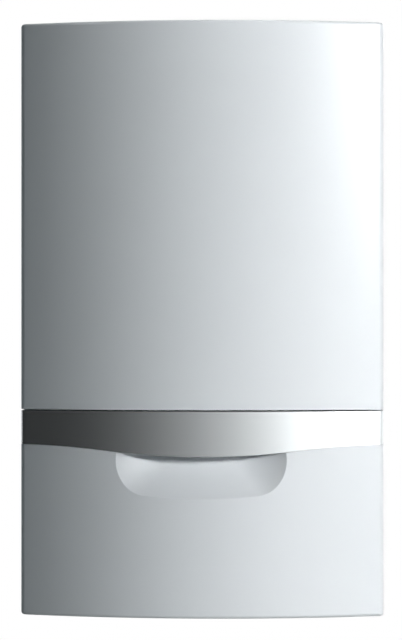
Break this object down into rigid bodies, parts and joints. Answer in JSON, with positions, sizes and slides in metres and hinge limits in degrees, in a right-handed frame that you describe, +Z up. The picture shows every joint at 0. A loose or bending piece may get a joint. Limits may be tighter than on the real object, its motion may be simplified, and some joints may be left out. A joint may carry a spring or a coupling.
{
  "type": "condensing boiler",
  "caption": "Wall-hung condensing boiler with a bowed white cover, a silver smile-edged band over a grip recess, and a drop-down flap over a folding control box.",
  "frame": {"origin": "midway between the two fixing holes of the hanging bracket, on the wall plane", "axes": "+X to the right seen from the room, +Y into the wall, +Z up along the casing's height"},
  "size_m": [0.44, 0.338, 0.736],
  "materials": {
    "white_enamel": "semi-gloss white enamel",
    "white_moulding": "semi-gloss white moulding",
    "satin_band": "satin silver",
    "zinc_sheet": "galvanised sheet",
    "stainless": "stainless steel",
    "cast_aluminium": "cast, matt",
    "vessel_paint": "red paint",
    "copper": "copper tube",
    "brass": "turned brass",
    "black_plastic": "fine texture",
    "grey_plastic": "fine texture",
    "light_plastic": "fine texture",
    "red_plastic": "satin",
    "clear": "clear",
    "foam": "closed-cell foam",
    "rubber": "matt",
    "board": "circuit board",
    "motor_steel": "dark coating",
    "ceramic": "glazed ceramic"
  },
  "bodies": {
    "chassis": {"left_side_panel": "white_enamel", "right_side_panel": "white_enamel", "hanging_bracket": "zinc_sheet", "rear_panel": "zinc_sheet", "top_panel": "zinc_sheet", "bottom_panel": "zinc_sheet", "cross_rail": "zinc_sheet", "rail_screws": "zinc_sheet", "cover_clips": "zinc_sheet", "cell_brackets": "zinc_sheet", "door_nuts": "zinc_sheet", "heat_cell": "stainless", "cell_coil": "stainless", "burner": "stainless", "plate_heat_exchanger": "stainless", "burner_door": "cast_aluminium", "fan_housing": "cast_aluminium", "gas_valve": "cast_aluminium", "expansion_vessel": "vessel_paint", "flow_pipe": "copper", "return_pipe": "copper", "gas_feed_pipe": "copper", "gas_pipe": "copper", "heating_tails": "copper", "water_tails": "copper", "diverter_block": "brass", "safety_valve": "brass", "union_nuts": "brass", "diverter_motor": "black_plastic", "mixing_venturi": "black_plastic", "air_silencer": "black_plastic", "ignition_unit": "black_plastic", "pump_housing": "black_plastic", "flue_duct": "light_plastic", "flue_socket": "light_plastic", "condensate_trap": "light_plastic", "chamber_seal": "foam", "vessel_hose": "rubber", "condensate_hose": "rubber", "ignition_lead": "rubber", "fan_motor": "motor_steel", "pump_motor": "motor_steel", "ignition_electrode": "ceramic"},
    "front_cover": {"front_cover": "white_enamel"},
    "control_box": {"control_box": "grey_plastic", "control_box_lid": "grey_plastic", "control_fascia": "light_plastic", "clear_windows": "clear", "pressure_gauge": "light_plastic", "circuit_boards": "board", "flap_catches": "motor_steel"},
    "front_flap": {"front_flap": "white_moulding", "trim_band": "satin_band"},
    "reset_button": {"reset_button": "grey_plastic"},
    "minus_button": {"minus_button": "grey_plastic"},
    "plus_button": {"plus_button": "grey_plastic"},
    "power_button": {"power_button": "grey_plastic"},
    "gauge_needle": {"gauge_needle": "black_plastic"},
    "fan_wheel": {"fan_wheel": "black_plastic"},
    "safety_valve_knob": {"safety_valve_knob": "red_plastic"}
  },
  "joints": [
    {"name": "cover_pull", "type": "slide", "parent": "chassis", "child": "front_cover", "axis": [0, -1, 0], "range_m": [0, 0.3]},
    {"name": "box_fold", "type": "hinge", "parent": "chassis", "child": "control_box", "pos_m": [0, -0.262, -0.632], "axis": [1, 0, 0], "range_deg": [0, 90]},
    {"name": "flap_fold", "type": "hinge", "parent": "control_box", "child": "front_flap", "pos_m": [0, -0.292, -0.626], "axis": [1, 0, 0], "range_deg": [0, 90]},
    {"name": "fan_spin", "type": "hinge", "parent": "chassis", "child": "fan_wheel", "pos_m": [0.092, -0.25, -0.01], "axis": [0, 1, 0], "continuous": true},
    {"name": "relief_turn", "type": "hinge", "parent": "chassis", "child": "safety_valve_knob", "pos_m": [-0.152, -0.145, -0.465], "axis": [0, 1, 0], "range_deg": [0, 90]},
    {"name": "needle_turn", "type": "hinge", "parent": "control_box", "child": "gauge_needle", "pos_m": [-0.112, -0.2765, -0.488], "axis": [0, 1, 0], "range_deg": [0, 270], "stiffness_Nm_per_rad": 0.001},
    {"name": "reset_press", "type": "slide", "parent": "control_box", "child": "reset_button", "axis": [0, 1, 0], "range_m": [0, 0.0015], "stiffness_N_per_m": 900},
    {"name": "minus_press", "type": "slide", "parent": "control_box", "child": "minus_button", "axis": [0, 1, 0], "range_m": [0, 0.0015], "stiffness_N_per_m": 900},
    {"name": "plus_press", "type": "slide", "parent": "control_box", "child": "plus_button", "axis": [0, 1, 0], "range_m": [0, 0.0015], "stiffness_N_per_m": 900},
    {"name": "power_press", "type": "slide", "parent": "control_box", "child": "power_button", "axis": [0, 1, 0], "range_m": [0, 0.0015], "stiffness_N_per_m": 900}
  ]
}
